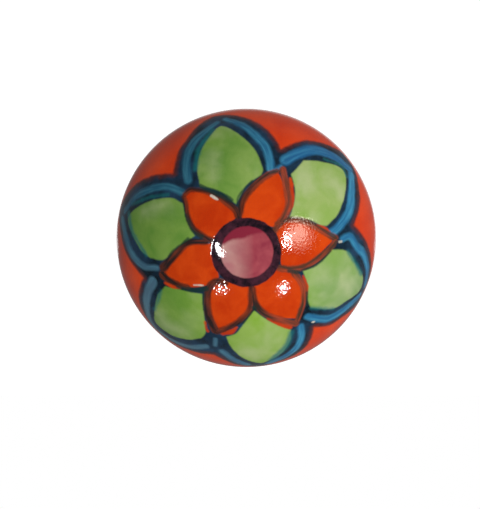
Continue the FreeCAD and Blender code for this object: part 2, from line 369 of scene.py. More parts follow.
# %% Outline of the six outer petals, from notch to notch
PATTERN_RADIUS = 20.12
OUTLINE = (
    ((-11.3, 11.1), (-10.6, 14.0), (-9.5, 15.7), (-7.6, 17.8), (-5.4, 19.1), (-2.6, 19.55), (0.5, 19.1),
     (3.2, 17.65), (4.8, 15.9), (5.3, 14.9)),
    ((5.3, 14.9), (6.6, 15.4), (9.1, 15.95), (12.0, 15.2), (14.2, 14.0), (15.5, 12.7), (16.8, 10.7),
     (17.4, 8.4), (17.5, 5.8), (16.6, 3.0)),
    ((16.6, 3.0), (17.8, 1.5), (18.7, -0.3), (19.3, -2.8), (19.1, -5.6), (18.2, -8.0), (17.1, -10.1),
     (15.0, -11.6), (12.8, -12.8), (10.4, -12.9)),
    ((10.4, -12.9), (10.1, -14.5), (9.1, -16.4), (7.0, -18.0), (4.2, -19.1), (1.7, -19.7), (-1.3, -19.3),
     (-3.6, -18.2), (-5.0, -17.4)),
    ((-5.0, -17.4), (-8.0, -17.1), (-11.6, -15.75), (-14.5, -13.3), (-16.1, -10.6), (-16.6, -8.4),
     (-16.3, -6.4), (-15.85, -5.2)),
    ((-15.85, -5.2), (-17.3, -3.5), (-18.7, -1.3), (-19.5, 1.9), (-19.5, 4.5), (-18.4, 7.2), (-16.35, 9.5),
     (-13.6, 10.8), (-11.3, 11.1)),
)

# %% Green fields, each by its sides from corner to corner
GREEN = (
    (((-7.1, 9.5), (-7.6, 12.4), (-6.8, 15.1), (-4.8, 17.6), (-3.4, 18.1), (-1.0, 17.0), (1.2, 15.1),
      (2.5, 12.4), (2.35, 11.3)),
     ((2.35, 11.3), (0.05, 9.75), (-1.55, 6.95)),
     ((-1.55, 6.95), (-3.95, 8.75), (-7.1, 9.5))),
    (((6.6, 4.9), (9.5, 4.45), (11.4, 3.45), (12.4, 3.3)),
     ((12.4, 3.3), (14.2, 5.1), (15.2, 7.8), (15.3, 10.5), (14.0, 11.95), (11.2, 12.9), (8.8, 13.2)),
     ((8.8, 13.2), (7.5, 11.9), (6.8, 11.3)),
     ((6.8, 11.3), (7.4, 9.3), (7.3, 7.2), (6.6, 4.9))),
    (((8.6, -3.4), (10.45, -2.75), (12.1, -1.55), (13.1, -0.3)),
     ((13.1, -0.3), (15.6, -0.9), (16.9, -3.1), (18.0, -5.4), (17.5, -7.6), (15.4, -9.0), (13.2, -10.0),
      (9.9, -9.5)),
     ((9.9, -9.5), (9.35, -8.0), (9.4, -5.8), (8.6, -3.4))),
    (((1.2, -9.5), (3.5, -11.3), (6.9, -13.0)),
     ((6.9, -13.0), (6.8, -14.8), (5.5, -17.0), (3.2, -18.6), (1.8, -18.85), (-0.6, -17.8), (-2.4, -15.8),
      (-3.1, -14.0)),
     ((-3.1, -14.0), (-1.6, -13.4), (-0.4, -11.7), (1.2, -9.5))),
    (((-6.7, -7.0), (-9.9, -6.5), (-12.5, -6.1)),
     ((-12.5, -6.1), (-13.7, -7.9), (-14.15, -10.3), (-13.9, -12.6), (-11.4, -14.45), (-8.8, -14.9),
      (-6.9, -14.5)),
     ((-6.9, -14.5), (-6.2, -13.3), (-6.5, -9.7), (-6.7, -7.0))),
    (((-7.8, 2.1), (-10.6, 0.05), (-12.6, -1.95), (-14.8, -1.9)),
     ((-14.8, -1.9), (-16.3, -0.7), (-17.6, 1.6), (-18.2, 3.9), (-16.7, 5.7), (-14.2, 7.1), (-11.5, 7.6),
      (-9.7, 6.9)),
     ((-9.7, 6.9), (-9.2, 4.9), (-7.8, 2.1))),
)

# %% Orange inner petals, each by its two sides
ORANGE = (
    (((-5.0, 2.1), (-7.0, 2.8), (-8.3, 4.8), (-9.35, 8.1)),
     ((-9.35, 8.1), (-8.0, 8.75), (-5.2, 8.05), (-2.5, 6.35), (-1.6, 5.1))),
    (((-0.4, 5.0), (-0.4, 7.0), (1.0, 8.85), (3.0, 10.4), (4.75, 11.2)),
     ((4.75, 11.2), (5.3, 10.1), (5.9, 8.0), (5.6, 5.8), (4.2, 3.4))),
    (((4.9, 3.0), (6.4, 3.85), (8.9, 3.85), (11.3, 2.4), (12.9, 1.05)),
     ((12.9, 1.05), (11.4, -0.3), (9.6, -1.85), (7.4, -2.5), (5.3, -2.1))),
    (((4.9, -3.1), (6.6, -3.5), (8.2, -5.5), (8.3, -8.4), (7.5, -10.8)),
     ((7.5, -10.8), (5.0, -10.5), (2.8, -9.2), (1.6, -7.0), (1.5, -5.2))),
    (((0.3, -5.4), (0.25, -8.7), (-0.8, -10.6), (-4.0, -12.6)),
     ((-4.0, -12.6), (-5.0, -10.3), (-5.45, -7.8), (-4.5, -5.75), (-3.3, -4.9))),
    (((-5.2, 0.65), (-8.7, 0.4), (-10.3, -1.4), (-12.35, -4.0)),
     ((-12.35, -4.0), (-10.5, -5.2), (-8.15, -5.7), (-5.65, -5.05), (-4.3, -3.9))),
)

# %% Blue strokes: widths at the start, middle and end, then the points
BLUE = (
    ((1.35, 1.25, 0.9), ((-8.95, 10.35), (-9.2, 12.0), (-9.05, 13.85), (-7.95, 15.9),
                         (-5.8, 17.7), (-4.5, 18.5))),
    ((0.9, 1.35, 1.25), ((-3.2, 19.0), (-0.8, 18.35), (1.0, 17.2), (2.75, 15.5), (3.6, 13.4), (3.75, 12.1))),
    ((0.6, 0.7, 0.5), ((3.8, 12.0), (4.6, 12.1), (5.3, 12.6))),
    ((1.8, 1.7, 1.4), ((6.0, 13.3), (7.8, 14.1), (10.5, 14.5), (13.5, 13.3), (16.0, 11.2))),
    ((1.4, 1.5, 1.4), ((16.2, 10.5), (16.2, 8.0), (15.8, 5.2), (14.2, 3.0), (13.2, 2.3))),
    ((1.0, 1.2, 1.1), ((14.8, 1.1), (15.9, 1.35), (17.1, -0.5), (18.0, -1.6), (18.7, -4.1), (18.4, -6.9))),
    ((1.1, 1.3, 1.1), ((17.5, -8.5), (15.2, -10.3), (12.7, -11.6), (10.2, -11.2), (9.4, -10.9))),
    ((1.0, 1.2, 1.2), ((8.4, -12.5), (8.5, -14.4), (7.7, -16.3), (5.9, -17.8), (3.5, -18.95))),
    ((1.0, 1.1, 1.1), ((-3.7, -16.7), (-1.9, -18.2), (0.2, -19.2))),
    ((0.55, 0.55, 0.55), ((-4.75, -14.5), (-4.8, -15.6))),
    ((1.0, 0.9, 0.9), ((-6.2, -15.9), (-8.4, -16.2), (-10.9, -15.6), (-13.3, -14.2))),
    ((1.6, 1.25, 0.8), ((-14.4, -5.6), (-15.2, -7.55), (-15.4, -9.8), (-14.95, -12.0), (-14.0, -13.7))),
    ((0.8, 1.2, 1.1), ((-13.7, -3.3), (-15.8, -3.25), (-17.6, -1.6), (-18.6, 1.05), (-19.1, 3.55))),
    ((1.0, 1.2, 1.0), ((-18.7, 4.8), (-17.0, 7.15), (-14.3, 8.75), (-11.8, 9.15), (-9.8, 8.45))),
)

# %% Teal washes along the green
TEAL = (
    ((0.7, 0.8, 0.5), ((-7.8, 12.0), (-7.2, 14.9), (-5.1, 17.6))),
    ((0.7, 0.6, 0.5), ((-18.1, 4.6), (-17.5, 1.8), (-15.4, -1.4))),
    ((0.4, 0.4, 0.4), ((-17.5, 6.0), (-15.0, 7.3), (-12.0, 8.0))),
    ((0.3, 0.4, 0.3), ((12.0, 13.1), (14.6, 11.9), (15.4, 10.3))),
    ((0.5, 0.6, 0.6), ((15.6, -1.0), (16.8, -3.0), (17.7, -4.8))),
    ((0.4, 0.4, 0.3), ((10.0, -9.5), (13.5, -10.0))),
    ((0.8, 1.0, 0.9), ((6.9, -13.5), (6.1, -15.8), (3.8, -18.3))),
    ((0.4, 0.5, 0.4), ((-13.1, -7.0), (-14.1, -10.2))),
)

# %% Pale spots of the green: some where the brush was nearly dry, some painted reflections of lamps on the glaze
# The first spot, on the top petal, and the fourth, low on the right petal, are painted reflections of lamps
# on the glaze.
PALE_AND_SHEEN = (
    ((0.9, 1.2, 0.9), ((-5.0, 13.6), (-5.2, 11.0))),
    ((1.6, 2.2, 1.6), ((9.3, 12.4), (9.6, 9.4))),
    ((2.0, 2.5, 1.8), ((12.5, 10.6), (14.4, 8.4))),
    ((1.2, 1.8, 1.2), ((14.6, -4.6), (15.6, -7.6))),
    ((1.2, 1.7, 1.2), ((11.0, -3.6), (12.4, -4.8))),
    ((1.2, 1.9, 1.4), ((-0.6, -16.6), (1.6, -17.6))),
    ((1.4, 2.4, 1.8), ((-13.4, -10.9), (-12.2, -12.8), (-9.8, -13.6))),
    ((1.0, 1.6, 1.0), ((-15.6, 5.2), (-12.8, 6.5))),
)

# %% Brown lines round the orange petals, and orange that ran over them
BROWN = (
    ((0.6, 0.8, 0.9), ((-9.65, 7.9), (-9.25, 6.8), (-8.9, 4.8), (-8.05, 3.2), (-6.2, 1.9), (-5.3, 1.5))),
    ((0.7, 0.6, 0.7), ((-9.5, 8.2), (-8.4, 8.95), (-6.2, 8.75), (-4.1, 7.9))),
    ((0.9, 0.95, 0.95), ((-4.0, 7.9), (-1.75, 6.25), (-1.15, 4.9))),
    ((0.8, 1.0, 0.9), ((4.7, 11.8), (3.35, 11.3), (1.2, 9.7), (-0.5, 7.6), (-1.0, 5.4))),
    ((1.0, 1.1, 1.0), ((5.6, 12.0), (6.05, 10.0), (6.5, 7.2), (6.05, 5.5), (4.4, 3.1))),
    ((0.9, 0.85, 1.0), ((4.8, 4.0), (5.8, 4.5), (8.2, 4.45), (10.6, 3.25), (12.3, 2.2), (13.7, 1.3))),
    ((0.8, 1.0, 1.05), ((13.7, 0.9), (12.9, -0.15), (11.5, -1.25), (9.2, -2.65), (6.7, -3.05), (5.0, -2.8))),
    ((1.0, 0.9, 0.8), ((7.4, -3.7), (8.75, -5.9), (8.8, -8.2), (8.35, -9.9), (7.8, -11.5))),
    ((0.8, 1.0, 1.1), ((1.0, -6.0), (1.45, -8.35), (3.05, -10.2), (5.7, -11.4), (7.6, -12.0))),
    ((0.8, 0.95, 1.1), ((0.7, -5.6), (0.55, -9.2), (-1.15, -11.35), (-3.4, -12.75), (-4.5, -13.2))),
    ((1.1, 1.05, 1.25), ((-3.3, -5.1), (-4.6, -4.9), (-5.6, -5.7), (-6.0, -7.6), (-5.8, -10.4),
                         (-4.8, -13.0))),
    ((1.4, 0.95, 0.7), ((-12.8, -4.4), (-12.1, -4.95), (-10.5, -5.65), (-9.0, -6.0))),
    ((0.9, 1.0, 1.35), ((-6.2, 1.25), (-8.8, 0.95), (-10.7, -0.75), (-12.7, -3.2))),
)
SPILL = (
    ((0.5, 0.75, 0.4), ((6.75, 10.6), (7.0, 8.6), (6.95, 7.0), (6.6, 6.0))),
    ((0.5, 0.9, 0.8), ((3.4, -10.95), (5.6, -12.1), (6.7, -12.5))),
    ((0.8, 1.0, 0.4), ((-3.6, -13.5), (-2.3, -13.1), (-1.5, -12.4))),
    ((0.3, 0.4, 0.4), ((-6.3, -11.6), (-6.2, -12.6), (-5.9, -13.2))),
    ((0.5, 0.8, 0.5), ((-12.4, -5.6), (-11.4, -6.0), (-10.2, -6.1))),
    ((0.3, 0.5, 0.3), ((10.9, 3.5), (12.0, 3.0), (12.8, 2.3))),
    ((0.3, 0.5, 0.3), ((8.7, -4.2), (9.25, -5.9), (9.2, -7.4))),
)

# %% Dark touches beside the brown, pale spots where the glaze shows through, and one painted glint
DARK = (
    ((0.5, 0.95, 0.6), ((-7.0, 9.6), (-5.0, 8.8), (-3.0, 8.0), (-2.3, 7.6))),
    ((0.4, 0.6, 0.7), ((-9.3, 5.2), (-8.3, 3.0), (-7.3, 2.2), (-6.8, 2.0))),
    ((0.3, 0.3, 0.3), ((0.9, 10.4), (-0.5, 9.1), (-1.3, 7.9), (-1.3, 6.8))),
    ((0.35, 0.35, 0.35), ((12.9, -0.6), (10.9, -2.5), (8.5, -3.3))),
    ((0.4, 0.4, 0.4), ((9.3, -6.9), (9.3, -9.0))),
    ((0.3, 0.3, 0.3), ((0.9, -9.6), (-0.5, -11.7))),
    ((0.7, 0.7, 0.7), ((1.1, -9.1), (1.3, -9.3))),
    ((0.35, 0.35, 0.35), ((-6.5, -7.0), (-6.6, -8.2), (-6.5, -9.6))),
    ((0.3, 0.85, 0.9), ((-10.6, -6.1), (-8.4, -6.45), (-6.2, -6.1))),
    ((0.35, 0.35, 0.35), ((-8.9, 1.6), (-11.0, -0.2), (-11.9, -1.3))),
    ((0.6, 0.6, 0.6), ((6.5, -3.3), (8.0, -3.6))),
)
CHIPS_AND_GLINT = (
    ((0.3, 0.35, 0.3), ((-5.4, 8.2), (-4.4, 7.7))),
    ((0.2, 0.25, 0.2), ((-8.0, -5.65), (-6.6, -5.6))),
    # Painted glint: a lamp's spark where the thick blue strokes cross.
    ((0.4, 0.4, 0.4), ((14.3, 0.7), (14.6, 0.7))),
    ((0.3, 0.3, 0.3), ((10.2, -11.9), (10.4, -11.9))),
)

# %% Eye of the flower
RING_CENTRE = (0.0, -0.35)
RING_RADIUS = 5.35
DISC_CENTRE = (0.1, -0.3)
DISC_RADIUS = 4.0
CRESCENT = (
    ((1.7, 2.95, 1.1), ((-3.95, 1.65), (-2.75, 2.58), (-0.8, 3.32), (1.25, 3.6), (2.8, 3.4))),
)
print("brush strokes", sum(len(touches) for touches in (BLUE, TEAL, PALE_AND_SHEEN, BROWN, SPILL, DARK, CHIPS_AND_GLINT)))

# %% [markdown]
# Distances on the crown
#
# A brush follows the curved face, so strokes are lifted on the crown first and all distances are measured in
# space. Positive means inside the paint. Stored per point, such distances stay smooth between the points, and
# a shader can cut a sharp or soft edge from them wherever it wants one.

# %% The crown, and smooth curves on it
CURVE_STEPS = 6


def crown_rise(rho):
    """Height of the crown over the door at a distance from the axis, in millimetres."""
    cap = CAP_RISE / MM + np.sqrt(np.maximum((CAP_RADIUS / MM) ** 2 - rho ** 2, 0))
    shoulder = WIDEST_RISE / MM + np.sqrt(
        np.maximum((SHOULDER_RADIUS / MM) ** 2 - (rho - SHOULDER_RHO / MM) ** 2, 0))
    return np.where(rho < CAP_EDGE_RHO / MM, cap, shoulder)


def on_crown(points):
    """Points seen from the front, lifted on the crown, as (x, y, z) in millimetres."""
    flat = np.asarray(points, float)
    rho = np.minimum(np.hypot(flat[:, 0], flat[:, 1]), HEAD_RADIUS / MM)
    return np.stack([flat[:, 0], -crown_rise(rho), flat[:, 1]], axis=1)


def smooth_line(points):
    """Smooth curve through the points, with its ends at the first and last one."""
    p = np.asarray(points, float) * (HEAD_RADIUS / MM / PATTERN_RADIUS)
    p = np.vstack([2 * p[0] - p[1], p, 2 * p[-1] - p[-2]])
    t = np.linspace(0, 1, CURVE_STEPS, endpoint=False)[:, None]
    runs = []
    for a, b, c, d in zip(p[:-3], p[1:-2], p[2:-1], p[3:]):
        runs.append(0.5 * (2 * b + (c - a) * t + (2 * a - 5 * b + 4 * c - d) * t ** 2
                           + (3 * b - a - 3 * c + d) * t ** 3))
    return np.vstack(runs + [p[-2:-1]])


# %% Distances to strokes, fields and circles
NOWHERE = -1e9
STROKE_GAP = 40.0


def nearest(spots, path, widths):
    """For each spot: how deep it lies inside the widths of a path, and its place across and along it."""
    best = np.full(len(spots), NOWHERE)
    across = np.zeros(len(spots))
    along = np.zeros(len(spots))
    half = widths / 2
    passed = 0.0
    for start, end, near, far in zip(path[:-1], path[1:], half[:-1], half[1:]):
        run = end - start
        share = np.clip((spots - start) @ run / max(run @ run, 1e-9), 0, 1)
        offset = spots - (start + share[:, None] * run)
        gap = np.linalg.norm(offset, axis=1)
        side = np.sign(run[0] * offset[:, 2] - run[2] * offset[:, 0])
        depth = near + (far - near) * share - gap
        closer = depth > best
        best = np.where(closer, depth, best)
        across = np.where(closer, side * gap, across)
        along = np.where(closer, passed + share * np.linalg.norm(run), along)
        passed += np.linalg.norm(run)
    return best, across, along


def stroke_places(spots, strokes):
    """Depth of each spot inside the nearest stroke of a list, and its places across and along that stroke."""
    depth = np.full(len(spots), NOWHERE)
    across = np.zeros(len(spots))
    along = np.zeros(len(spots))
    for number, (widths, points) in enumerate(strokes):
        path = on_crown(smooth_line(points))
        widths = np.interp(np.linspace(0, 1, len(path)), (0, 0.5, 1), widths)
        own_depth, own_across, own_along = nearest(spots, path, widths)
        closer = own_depth > depth
        depth = np.where(closer, own_depth, depth)
        across = np.where(closer, own_across, across)
        along = np.where(closer, own_along + number * STROKE_GAP, along)
    return depth, across, along


def field_depth(spots, fields):
    """How deep each spot lies inside the nearest field; a field is a ring of smooth sides."""
    depth = np.full(len(spots), NOWHERE)
    for sides in fields:
        ring = np.vstack([smooth_line(side)[:-1] for side in sides])
        ring = np.vstack([ring, ring[:1]])
        gap = -nearest(spots, on_crown(ring), np.zeros(len(ring)))[0]
        inside = np.zeros(len(spots), bool)
        x, z = spots[:, 0], spots[:, 2]
        for (x0, z0), (x1, z1) in zip(ring[:-1], ring[1:]):
            if z0 != z1:
                inside ^= ((z0 > z) != (z1 > z)) & (x < x0 + (z - z0) * (x1 - x0) / (z1 - z0))
        depth = np.maximum(depth, np.where(inside, gap, -gap))
    return depth


def disc_depth(spots, centre, radius):
    """How deep each spot lies inside a circle, measured flat as seen from the front."""
    return radius - np.hypot(spots[:, 0] - centre[0], spots[:, 2] - centre[1])


# %% [markdown]
# Brushed edges
#
# Where a brush lifts off, the edge of the paint wavers a little and fades over a tenth of a millimetre. The
# group turns a stored depth into a mask with such an edge, and every colour on the head uses it.

# %% Group for a brushed edge
WAVER_SCALE = 900.0


def brushed_edge_group():
    group, given, out = new_group("brushed edge", "ShaderNodeTree", (
        ("Depth", "NodeSocketFloat", 0.0),
        ("Shift", "NodeSocketFloat", 0.0),
        ("Softness", "NodeSocketFloat", 0.1),
        ("Waver", "NodeSocketFloat", 0.1),
    ), (("Mask", "NodeSocketFloat"),))
    lean = math_node(group, "SUBTRACT", noise(group, object_place(group), WAVER_SCALE, 3.0), 0.5)
    shifted = math_node(group, "ADD", given.outputs["Depth"], given.outputs["Shift"])
    moved = math_node(group, "MULTIPLY_ADD", lean, product(group, given.outputs["Waver"], 2.0), shifted)
    share = math_node(group, "DIVIDE", moved, given.outputs["Softness"])
    share = math_node(group, "MULTIPLY_ADD", share, 0.5, 0.5, clamp=True)
    eased = node(group, "ShaderNodeMapRange", {"Value": share}, interpolation_type="SMOOTHSTEP")
    fill(group, out.inputs["Mask"], eased.outputs["Result"])
    return group


BRUSHED_EDGE = brushed_edge_group()


# %% [markdown]
# Uneven colour
#
# Glaze colours lie thicker in one place than in the next, so each one runs between a thin and a thick shade
# in soft clouds, with a little finer mottle on top.

# %% Group for uneven colour
CLOUD_SWIRL = 0.6
MOTTLE_SCALE = 1500.0


def uneven_colour_group():
    group, given, out = new_group("uneven colour", "ShaderNodeTree", (
        ("Thin", "NodeSocketColor", (0.5, 0.5, 0.5, 1)),
        ("Thick", "NodeSocketColor", (0.4, 0.4, 0.4, 1)),
        ("Cloud Scale", "NodeSocketFloat", 250.0),
        ("Mottle", "NodeSocketFloat", 0.3),
    ), (("Color", "NodeSocketColor"),))
    place = object_place(group)
    clouds = noise(group, place, given.outputs["Cloud Scale"], 2.0, Distortion=CLOUD_SWIRL)
    fine = math_node(group, "SUBTRACT", noise(group, place, MOTTLE_SCALE, 4.0), 0.5)
    share = math_node(group, "ADD", map_range(group, clouds, 0.3, 0.7),
                      product(group, fine, given.outputs["Mottle"]), clamp=True)
    colour = mixed(group, "RGBA", given.outputs["Thin"], given.outputs["Thick"], share)
    fill(group, out.inputs["Color"], colour)
    return group


UNEVEN_COLOUR = uneven_colour_group()


# %% [markdown]
# Tools of the painter
#
# One material carries the whole head, because one clear glaze covers it. Its colours are laid over each other
# in the painter's order, each one where its mask says. A mask is a stored depth with a brushed edge. Bristles
# leave fine lines along a stroke, which follow the stored places across and along it. And the light and the
# thickness of the paint change over the flower, so some colours fade into another one across the head.

# %% Paint, masks and bristle lines
BRISTLE_LINES = 1.7
BRISTLE_STRETCH = 0.13


def plain_material(name):
    """New material with its tree, its Principled shader and nothing else."""
    material = bpy.data.materials.new(name)
    material.use_nodes = True
    tree = material.node_tree
    tree.nodes.clear()
    shader = node(tree, "ShaderNodeBsdfPrincipled")
    node(tree, "ShaderNodeOutputMaterial", {"Surface": shader.outputs[0]})
    return material, tree, shader


def paint(tree, under, colour, mask):
    """Colour laid over what is under it, where the mask says."""
    return mixed(tree, "RGBA", under, colour, mask)


def uneven(tree, thin, thick, scale, mottle=0.3):
    """Cloudy colour between two shades."""
    made = node(tree, "ShaderNodeGroup", node_tree=UNEVEN_COLOUR)
    for key, value in (
            ("Thin", (*thin, 1)), ("Thick", (*thick, 1)), ("Cloud Scale", scale), ("Mottle", mottle)):
        made.inputs[key].default_value = value
    return made.outputs["Color"]


def stored(tree, attribute):
    """Value that was stored on the points of the piece."""
    return node(tree, "ShaderNodeAttribute", attribute_name=attribute).outputs["Fac"]


def brushed(tree, attribute, shift=0.0, softness=0.1, waver=0.1, strength=1.0):
    """Mask of a stored depth with a brushed edge."""
    made = node(tree, "ShaderNodeGroup", node_tree=BRUSHED_EDGE)
    fill(tree, made.inputs["Depth"], stored(tree, attribute))
    for key, value in (("Shift", shift), ("Softness", softness), ("Waver", waver)):
        made.inputs[key].default_value = value
    if strength == 1.0:
        return made.outputs["Mask"]
    return product(tree, made.outputs["Mask"], strength)


def fade(tree, axis, start, end):
    """Share from 0 to 1 along an axis of the knob, between two places in millimetres."""
    parts = node(tree, "ShaderNodeSeparateXYZ", {0: object_place(tree)})
    return map_range(tree, parts.outputs[axis], start * MM, end * MM)


def bristles(tree, thin, thick, attribute):
    """Colour between two shades, in the lines that the bristles leave along a stroke."""
    along = product(tree, stored(tree, attribute + " along"), BRISTLE_STRETCH)
    way = node(tree, "ShaderNodeCombineXYZ", {0: stored(tree, attribute + " across"), 1: along})
    lines = noise(tree, way.outputs[0], BRISTLE_LINES, 2.0)
    return paint(tree, thin, thick, map_range(tree, lines, 0.3, 0.6))


# %% [markdown]
# Ground, outlines and blue strokes
#
# The head is dipped in orange-red, and the flower is drawn on it with a thin black-brown wash first, which
# stays visible outside the navy as a soft dark hem. The blue is painted lighter at the right and darker at
# the left, as painted light and shade from the lamps at the right. It also turns greyer low on the left and
# deeper at the upper right.

# %% Ground, outlines and blue strokes
def ground_and_outlines(tree):
    colour = uneven(tree, (0.68, 0.065, 0.012), (0.52, 0.034, 0.006), 120.0)
    wash = uneven(tree, (0.06, 0.02, 0.02), (0.018, 0.012, 0.014), 500.0, 0.8)
    colour = paint(tree, colour, wash, brushed(tree, "flower", softness=0.3, waver=0.16, strength=0.9))
    navy = uneven(tree, (0.014, 0.042, 0.085), (0.004, 0.010, 0.016), 260.0, 0.7)
    return paint(tree, colour, navy, brushed(tree, "flower", shift=-0.48, softness=0.6, waver=0.5))


def blue_strokes(tree):
    # Painted light and shade: the blue is lighter at the right and darker at the left, as the lamps at the
    # right fall on it.
    left = bristles(tree, (0.038, 0.16, 0.23), (0.016, 0.088, 0.15), "blue")
    right = bristles(tree, (0.045, 0.24, 0.39), (0.018, 0.12, 0.25), "blue")
    blue = paint(tree, left, right, fade(tree, "X", -6.0, 8.0))
    chalky = product(tree, fade(tree, "X", 6.0, -12.0), fade(tree, "Z", 4.0, -8.0))
    blue = paint(tree, blue, (0.2, 0.27, 0.32), product(tree, chalky, 0.28))
    deep = product(tree, fade(tree, "Z", 10.0, 13.0), fade(tree, "X", 4.0, 7.0))
    return paint(tree, blue, (0.012, 0.065, 0.2), product(tree, deep, 0.4))


# %% [markdown]
# Green fields
#
# The green is darker at the left and paler towards the right: partly thinner paint, and partly painted light
# and shade from the lamps at the right. Here and there it was wiped thin, so that the pale clay shows
# through, and a few spots are paler still; some of these are painted reflections of lamps on the glaze.

# %% Green fields
def thin_patches(tree):
    """Mask of the spots where the green was wiped thin and the pale clay shows through it."""
    patches = noise(tree, object_place(tree), 190.0, 2.0, Roughness=0.6, Distortion=0.3)
    return product(tree, map_range(tree, patches, 0.48, 0.72, 0.0, 0.45), fade(tree, "X", -16.0, 10.0))


def green_fields(tree):
    # Painted light and shade, in part: the green runs from a dark shade at the left to a lighter one at the
    # right.
    left = uneven(tree, (0.17, 0.3, 0.055), (0.1, 0.23, 0.035), 260.0)
    above = uneven(tree, (0.28, 0.385, 0.12), (0.21, 0.345, 0.07), 260.0)
    low = uneven(tree, (0.25, 0.385, 0.085), (0.2, 0.36, 0.045), 260.0)
    below = uneven(tree, (0.215, 0.33, 0.13), (0.18, 0.31, 0.085), 260.0)
    upper = paint(tree, left, above, fade(tree, "X", -5.0, 8.0))
    lower = paint(tree, left, low, fade(tree, "X", -14.0, 1.0))
    lower = paint(tree, lower, below, fade(tree, "X", 5.0, 12.0))
    green = paint(tree, upper, lower, fade(tree, "Z", 4.0, -6.0))
    green = paint(tree, green, (0.46, 0.5, 0.3), thin_patches(tree))
    # Pale spots: partly dry brush, partly painted reflections of lamps on the glaze.
    pale = brushed(tree, "pale", softness=1.8, waver=0.9, strength=0.42)
    return paint(tree, green, (0.42, 0.47, 0.26), pale)


# %% [markdown]
# Orange petals and the eye
#
# The orange of the inner petals is brighter than the ground. Its brown lines are a thin wash, so the orange
# glows through them in bristle lines; the brown is painted lighter at the right than at the left, as painted
# light from the right. The eye is a pink disc with a dark berry crescent, and a thick aubergine ring is drawn
# round it; the pale left part of the disc is partly a painted reflection of the lamp at the left.

# %% Orange petals and the eye
def inner_petals(tree, colour):
    orange = uneven(tree, (0.56, 0.053, 0.004), (0.45, 0.03, 0.002), 300.0)
    colour = paint(tree, colour, orange, brushed(tree, "orange", shift=0.35, softness=0.14))
    colour = paint(tree, colour, orange, brushed(tree, "spill", softness=0.2, waver=0.2, strength=0.9))
    # Painted light: the brown lines are lighter at the right than at the left.
    left = bristles(tree, (0.18, 0.035, 0.014), (0.022, 0.012, 0.009), "brown")
    right = bristles(tree, (0.33, 0.052, 0.022), (0.07, 0.032, 0.018), "brown")
    lines = brushed(tree, "brown", shift=0.03, softness=0.22, waver=0.16, strength=0.9)
    colour = paint(tree, colour, paint(tree, left, right, fade(tree, "X", 0.0, 6.0)), lines)
    dark = brushed(tree, "dark", softness=0.2, waver=0.2, strength=0.78)
    colour = paint(tree, colour, (0.008, 0.028, 0.025), dark)
    # Pale chips, and one painted glint where the blue strokes cross.
    return paint(tree, colour, (0.55, 0.5, 0.42), brushed(tree, "chips_and_glint", softness=0.15, waver=0.15))


def eye(tree, colour, ring):
    colour = paint(tree, colour, uneven(tree, (0.05, 0.015, 0.026), (0.005, 0.004, 0.007), 700.0, 1.0), ring)
    # Painted reflection, in part: the disc is pale at the left, where the gloss of the lamp at the left
    # spreads from the ring, and rose at the right.
    pale = uneven(tree, (0.46, 0.27, 0.24), (0.38, 0.15, 0.16), 300.0)
    rose = uneven(tree, (0.35, 0.07, 0.085), (0.23, 0.03, 0.05), 350.0)
    pink = paint(tree, pale, rose, fade(tree, "X", -3.0, 1.2))
    pink = paint(tree, pink, (0.2, 0.017, 0.036), brushed(tree, "crescent", softness=0.3, waver=0.25))
    return paint(tree, colour, pink, brushed(tree, "disc", softness=0.16, waver=0.12))


# %% [markdown]
# The glazed painting
#
# All colours lie under one clear glaze. It is the sharp gloss of the Principled shader, with a fine grain
# and a slow ripple on it, which potters call orange peel. The grain breaks each lamp's reflection into
# sparks. The ring round the eye lies thick, so it is smoother.

# %% The glazed painting
GLAZE_ROUGHNESS = 0.06
PEEL_DEPTH = 0.0155 * MM
PEEL_PLACE = (0.0037, 0.0021, 0.0009)
GRAIN_SCALE = 3100.0
GRAIN_SHARE = 1.25
RIPPLE_SCALE = 350.0
RING_CALM = 0.6


def orange_peel(tree, ring):
    """Normal of the glaze."""
    place = object_place(tree)
    moved = node(tree, "ShaderNodeVectorMath", {0: place, 1: PEEL_PLACE}, operation="ADD")
    grain = noise(tree, moved.outputs[0], GRAIN_SCALE, 0.0)
    height = math_node(tree, "MULTIPLY_ADD", grain, GRAIN_SHARE, noise(tree, place, RIPPLE_SCALE, 1.0))
    calm = math_node(tree, "SUBTRACT", 1.0, product(tree, ring, RING_CALM))
    bump = node(tree, "ShaderNodeBump", {
        "Strength": 1.0, "Distance": PEEL_DEPTH, "Height": product(tree, height, calm)})
    return bump.outputs[0]


def glazed_painting():
    material, tree, shader = plain_material("glazed painting")
    colour = ground_and_outlines(tree)
    colour = paint(tree, colour, blue_strokes(tree), brushed(tree, "blue", softness=0.3, waver=0.16))
    colour = paint(tree, colour, green_fields(tree), brushed(tree, "green", shift=-0.05, softness=0.2))
    teal = brushed(tree, "teal", softness=0.4, waver=0.25, strength=0.8)
    colour = inner_petals(tree, paint(tree, colour, (0.01, 0.13, 0.14), teal))
    ring = brushed(tree, "ring", softness=0.14, waver=0.15)
    fill(tree, shader.inputs["Base Color"], eye(tree, colour, ring))
    fill(tree, shader.inputs["Normal"], orange_peel(tree, ring))
    shader.inputs["Roughness"].default_value = GLAZE_ROUGHNESS
    print("glazed painting has", len(tree.nodes), "nodes")
    return material


GLAZED_PAINTING = glazed_painting()

# %% [markdown]
# The glazed head
#
# The section runs from the top of the crown over the shoulder, round the underside, through the hollow neck
# to the foot and into the socket, where the cement sits.

# %% Section of the head
CROWN_STEP = 0.185 * MM
BACK_STEP = 0.9 * MM


